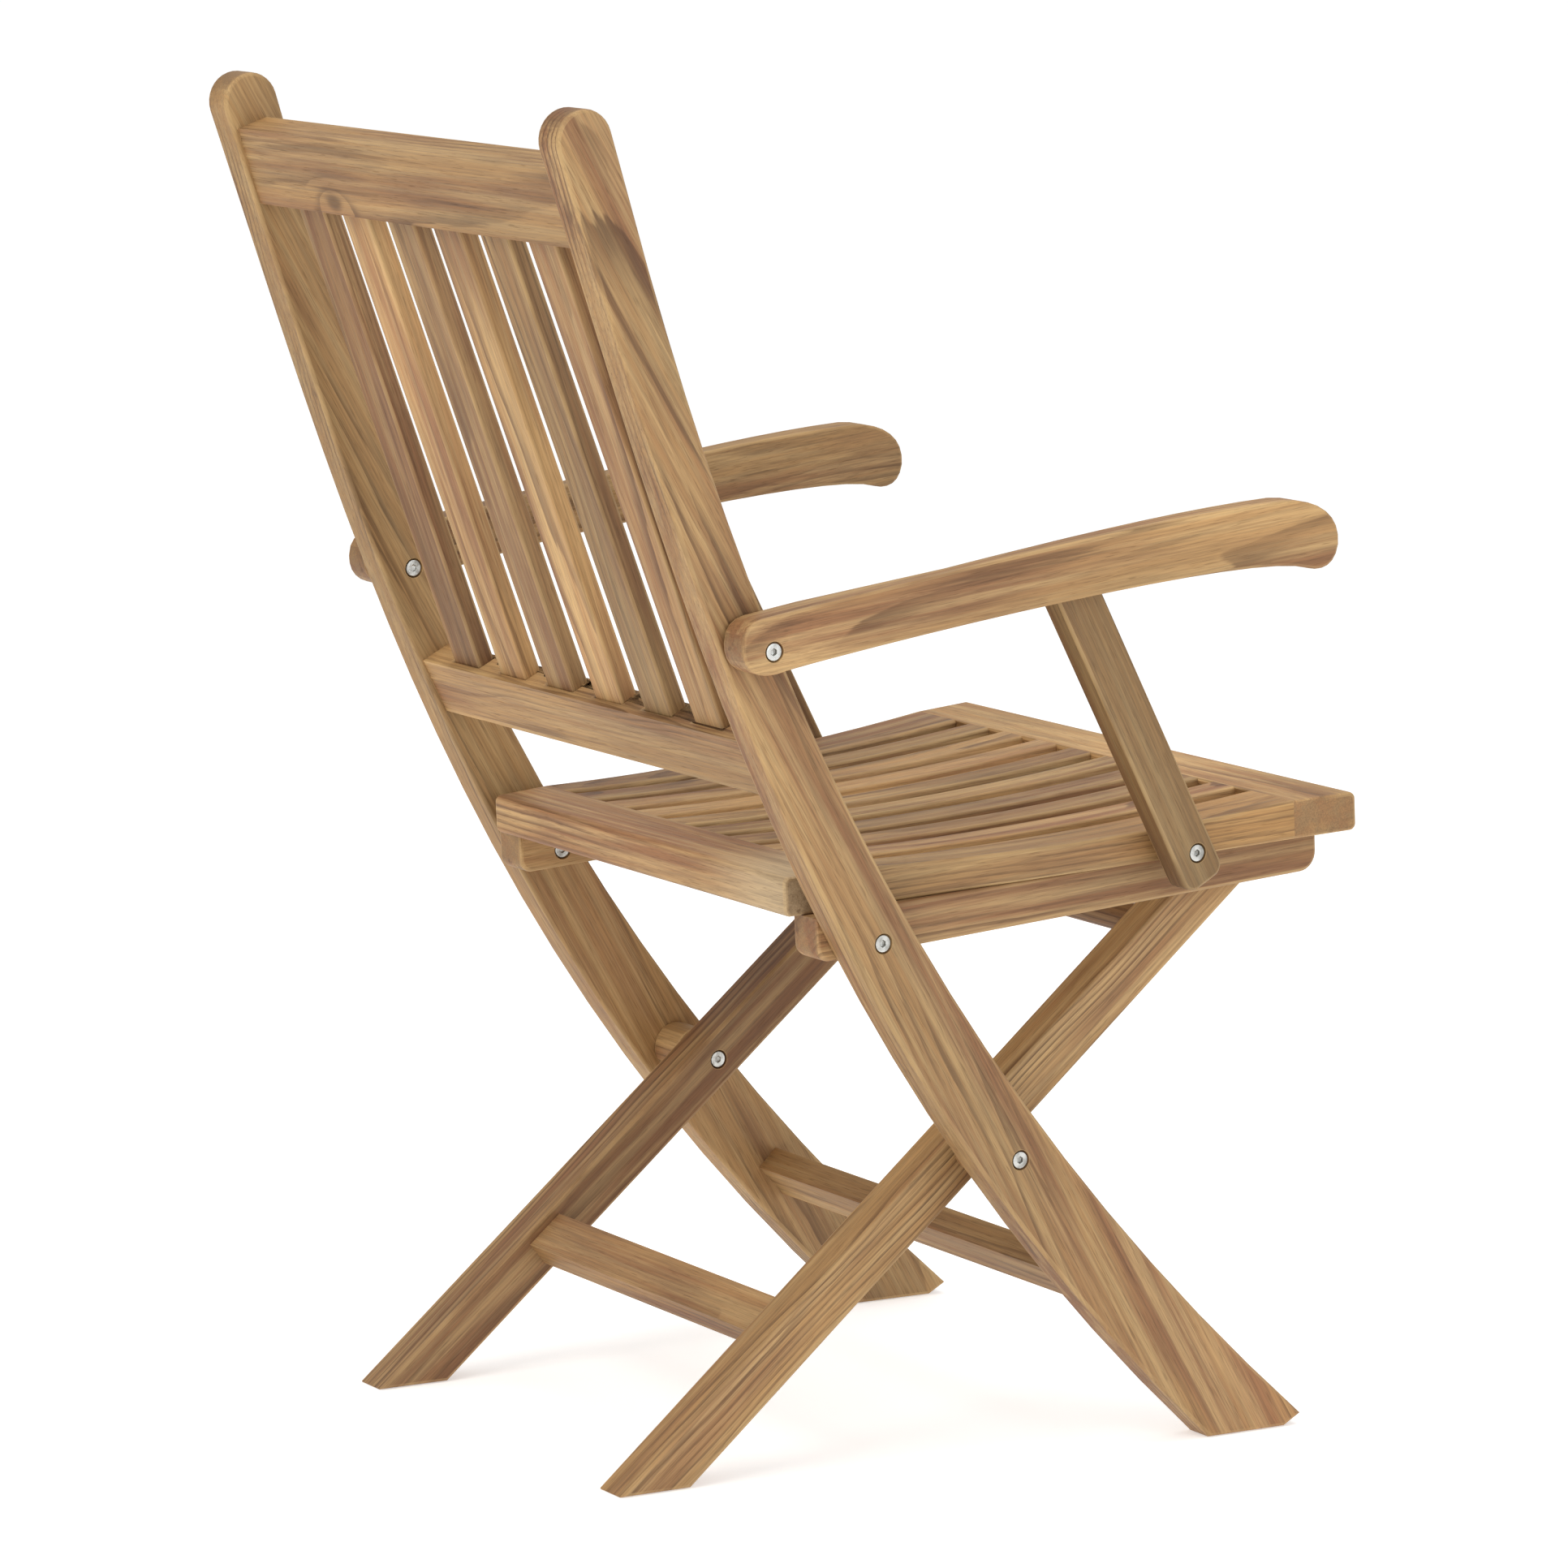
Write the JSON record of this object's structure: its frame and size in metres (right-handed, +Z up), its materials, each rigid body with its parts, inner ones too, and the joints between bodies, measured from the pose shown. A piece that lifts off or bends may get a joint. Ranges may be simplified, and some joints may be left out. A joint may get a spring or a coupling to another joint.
{
  "type": "folding armchair",
  "caption": "Folding slatted hardwood garden armchair with crossed legs, curved one-piece back posts, dished seat, high reclined back and arms that fold up with the seat.",
  "frame": {"origin": "on the floor, under the centre of the open chair's bounding box", "axes": "+Z up; -Y is the way a sitter faces, so the back leans towards +Y; +X is the sitter's left"},
  "size_m": [0.5666, 0.6686, 0.945],
  "materials": {
    "teak": "oiled straight-grained teak, satin, with slightly eased edges",
    "stainless": "turned stainless steel, satin, a little dulled outdoors"
  },
  "bodies": {
    "back_frame": {"stile_left": "teak", "stile_right": "teak", "back_top_rail": "teak", "back_bottom_rail": "teak", "back_slat_1": "teak", "back_slat_2": "teak", "back_slat_3": "teak", "back_slat_4": "teak", "back_slat_5": "teak", "back_slat_6": "teak", "front_stretcher": "teak", "leg_spacer_left": "teak", "leg_spacer_right": "teak", "arm_washers": "stainless", "leg_pivot_sleeves": "stainless", "leg_pivot_screws": "stainless", "seat_pivot_sleeves": "stainless", "seat_pivot_screws": "stainless", "arm_pivot_sleeves": "stainless", "arm_pivot_screws": "stainless"},
    "seat": {"seat_front_rail": "teak", "seat_rear_rail": "teak", "seat_side_rail_left": "teak", "seat_side_rail_right": "teak", "seat_slat_1": "teak", "seat_slat_2": "teak", "seat_slat_3": "teak", "seat_slat_4": "teak", "seat_slat_5": "teak", "seat_slat_6": "teak", "seat_slat_7": "teak", "seat_slat_8": "teak", "seat_cleat_left": "teak", "seat_cleat_right": "teak", "cleat_screws": "stainless", "support_bolts": "stainless", "support_bushes": "stainless"},
    "rear_legs": {"rear_leg_left": "teak", "rear_leg_right": "teak", "rear_stretcher": "teak", "leg_crossbar": "teak", "slide_pins": "stainless"},
    "arm_left": {"arm_left": "teak", "arm_pin_left": "stainless"},
    "arm_right": {"arm_right": "teak", "arm_pin_right": "stainless"},
    "support_left": {"arm_support_left": "teak"},
    "support_right": {"arm_support_right": "teak"}
  },
  "joints": [
    {"name": "seat_fold", "type": "hinge", "parent": "back_frame", "child": "seat", "pos_m": [0, 0.06564, 0.3795], "axis": [-1, 0, 0], "range_deg": [0, 87]},
    {"name": "leg_fold", "type": "hinge", "parent": "back_frame", "child": "rear_legs", "pos_m": [0, -0.05347, 0.218], "axis": [-1, 0, 0], "range_deg": [0, 74.3]},
    {"name": "arm_left_fold", "type": "hinge", "parent": "back_frame", "child": "arm_left", "pos_m": [0, 0.17695, 0.5885], "axis": [-1, 0, 0], "range_deg": [0, 87]},
    {"name": "arm_right_fold", "type": "hinge", "parent": "back_frame", "child": "arm_right", "pos_m": [0, 0.17695, 0.5885], "axis": [-1, 0, 0], "range_deg": [0, 87]},
    {"name": "support_left_fold", "type": "hinge", "parent": "arm_left", "child": "support_left", "pos_m": [0, -0.07368, 0.63527], "axis": [-1, 0, 0], "range_deg": [-87, 0]},
    {"name": "support_right_fold", "type": "hinge", "parent": "arm_right", "child": "support_right", "pos_m": [0, -0.07368, 0.63527], "axis": [-1, 0, 0], "range_deg": [-87, 0]}
  ],
  "couplings": [
    {"joint": "leg_fold", "follows": "seat_fold", "ratio": 0.85311},
    {"joint": "arm_left_fold", "follows": "seat_fold", "ratio": 1},
    {"joint": "arm_right_fold", "follows": "seat_fold", "ratio": 1},
    {"joint": "support_left_fold", "follows": "seat_fold", "ratio": -1},
    {"joint": "support_right_fold", "follows": "seat_fold", "ratio": -1}
  ]
}
